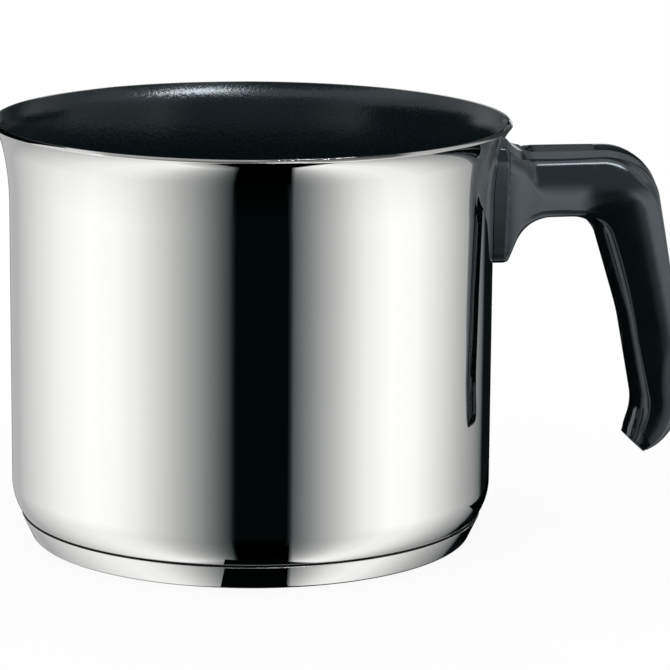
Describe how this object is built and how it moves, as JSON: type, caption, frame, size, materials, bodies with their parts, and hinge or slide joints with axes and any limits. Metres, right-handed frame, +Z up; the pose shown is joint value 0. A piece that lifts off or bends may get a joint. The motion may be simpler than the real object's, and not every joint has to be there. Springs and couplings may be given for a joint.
{
  "type": "milk pan",
  "caption": "Small steel milk pan with a flared pouring rim, black non-stick lining, capsule base and open hook-shaped side handle",
  "frame": {"origin": "centre of the flat underside of the capsule base, on the surface that the pan stands on", "axes": "+Z up through the pan's opening, +X from the pan's axis towards the handle, +Y across the handle"},
  "size_m": [0.2067, 0.1526, 0.1242],
  "materials": {
    "mirror_steel": "mirror polished stainless steel",
    "nonstick_coating": "black non-stick coating, satin",
    "core_aluminium": "as rolled",
    "bracket_steel": "pressed, plain",
    "black_moulding": "glossy moulded phenolic",
    "zinc_plate": "bright zinc plate"
  },
  "bodies": {
    "root": {"pan_body": "mirror_steel", "nonstick_lining": "nonstick_coating", "base_core": "core_aluminium", "base_cap": "mirror_steel", "handle_bracket": "bracket_steel", "handle": "black_moulding", "handle_screw": "zinc_plate", "screw_washer": "zinc_plate"}
  },
  "joints": []
}
